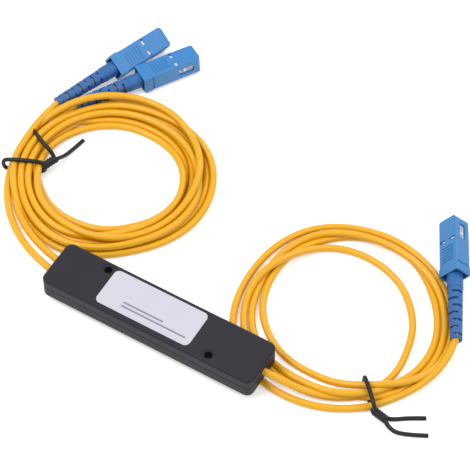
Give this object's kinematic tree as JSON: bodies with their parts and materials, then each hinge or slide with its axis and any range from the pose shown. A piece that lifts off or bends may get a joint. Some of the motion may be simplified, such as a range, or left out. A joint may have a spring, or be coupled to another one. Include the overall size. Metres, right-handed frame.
{
  "type": "fibre optic coupler with pigtails",
  "caption": "Slim black fibre coupler box with orange pigtails in tied coils, each ending in a blue push-pull plug with a slotted boot.",
  "frame": {"origin": "centre of the coupler module's box", "axes": "+X along the box towards the input cord, +Z out of the lid, +Y towards the side where the coils lie"},
  "size_m": [0.2007, 0.1288, 0.0123],
  "materials": {
    "shell_plastic": "satin",
    "label_film": "satin",
    "steel": "satin",
    "quartz": "gloss",
    "glass_fibre": "gloss",
    "epoxy": "gloss",
    "buffer_nylon": "satin",
    "cord_jacket": "satin",
    "tie_plastic": "satin",
    "sleeve_plastic": "satin",
    "frame_plastic": "satin",
    "zirconia": "gloss",
    "nickel_brass": "satin",
    "spring_steel": "satin",
    "crimp_metal": "satin",
    "boot_rubber": "satin"
  },
  "bodies": {
    "coupler_and_cords": {"module_lid": "shell_plastic", "module_tray": "shell_plastic", "module_label": "label_film", "coupler_tube": "steel", "coupler_substrate": "quartz", "fused_fibre_pair": "glass_fibre", "tube_seal_input": "epoxy", "tube_seal_output": "epoxy", "input_buffer": "buffer_nylon", "output_a_buffer": "buffer_nylon", "output_b_buffer": "buffer_nylon", "input_lead": "cord_jacket", "input_coil": "cord_jacket", "input_tail": "cord_jacket", "output_a_lead": "cord_jacket", "output_b_lead": "cord_jacket", "output_coil": "cord_jacket", "output_a_tail": "cord_jacket", "output_b_tail": "cord_jacket", "input_tie": "tie_plastic", "output_tie": "tie_plastic", "input_plug_frame": "frame_plastic", "input_spring": "spring_steel", "input_rear_body": "nickel_brass", "input_crimp_ring": "crimp_metal", "input_boot": "boot_rubber", "input_cord_end": "cord_jacket", "output_a_plug_frame": "frame_plastic", "output_a_spring": "spring_steel", "output_a_rear_body": "nickel_brass", "output_a_crimp_ring": "crimp_metal", "output_a_boot": "boot_rubber", "output_a_cord_end": "cord_jacket", "output_b_plug_frame": "frame_plastic", "output_b_spring": "spring_steel", "output_b_rear_body": "nickel_brass", "output_b_crimp_ring": "crimp_metal", "output_b_boot": "boot_rubber", "output_b_cord_end": "cord_jacket"},
    "input_sleeve": {"input_grip_sleeve": "sleeve_plastic"},
    "input_ferrule_set": {"input_ferrule": "zirconia", "input_ferrule_flange": "nickel_brass"},
    "output_a_sleeve": {"output_a_grip_sleeve": "sleeve_plastic"},
    "output_a_ferrule_set": {"output_a_ferrule": "zirconia", "output_a_ferrule_flange": "nickel_brass"},
    "output_b_sleeve": {"output_b_grip_sleeve": "sleeve_plastic"},
    "output_b_ferrule_set": {"output_b_ferrule": "zirconia", "output_b_ferrule_flange": "nickel_brass"}
  },
  "joints": [
    {"name": "input_sleeve_slide", "type": "slide", "parent": "coupler_and_cords", "child": "input_sleeve", "axis": [-0.4772, 0.8788, 0], "range_m": [-0.0008, 0.0008]},
    {"name": "input_ferrule_slide", "type": "slide", "parent": "coupler_and_cords", "child": "input_ferrule_set", "axis": [-0.4772, 0.8788, 0], "range_m": [-0.001, 0], "stiffness_N_per_m": 600, "springref_m": 0.008, "deforming": ["input_spring"]},
    {"name": "output_a_sleeve_slide", "type": "slide", "parent": "coupler_and_cords", "child": "output_a_sleeve", "axis": [0.342, 0.9397, 0], "range_m": [-0.0008, 0.0008]},
    {"name": "output_a_ferrule_slide", "type": "slide", "parent": "coupler_and_cords", "child": "output_a_ferrule_set", "axis": [0.342, 0.9397, 0], "range_m": [-0.001, 0], "stiffness_N_per_m": 600, "springref_m": 0.008, "deforming": ["output_a_spring"]},
    {"name": "output_b_sleeve_slide", "type": "slide", "parent": "coupler_and_cords", "child": "output_b_sleeve", "axis": [0.5299, 0.848, 0], "range_m": [-0.0008, 0.0008]},
    {"name": "output_b_ferrule_slide", "type": "slide", "parent": "coupler_and_cords", "child": "output_b_ferrule_set", "axis": [0.5299, 0.848, 0], "range_m": [-0.001, 0], "stiffness_N_per_m": 600, "springref_m": 0.008, "deforming": ["output_b_spring"]}
  ]
}
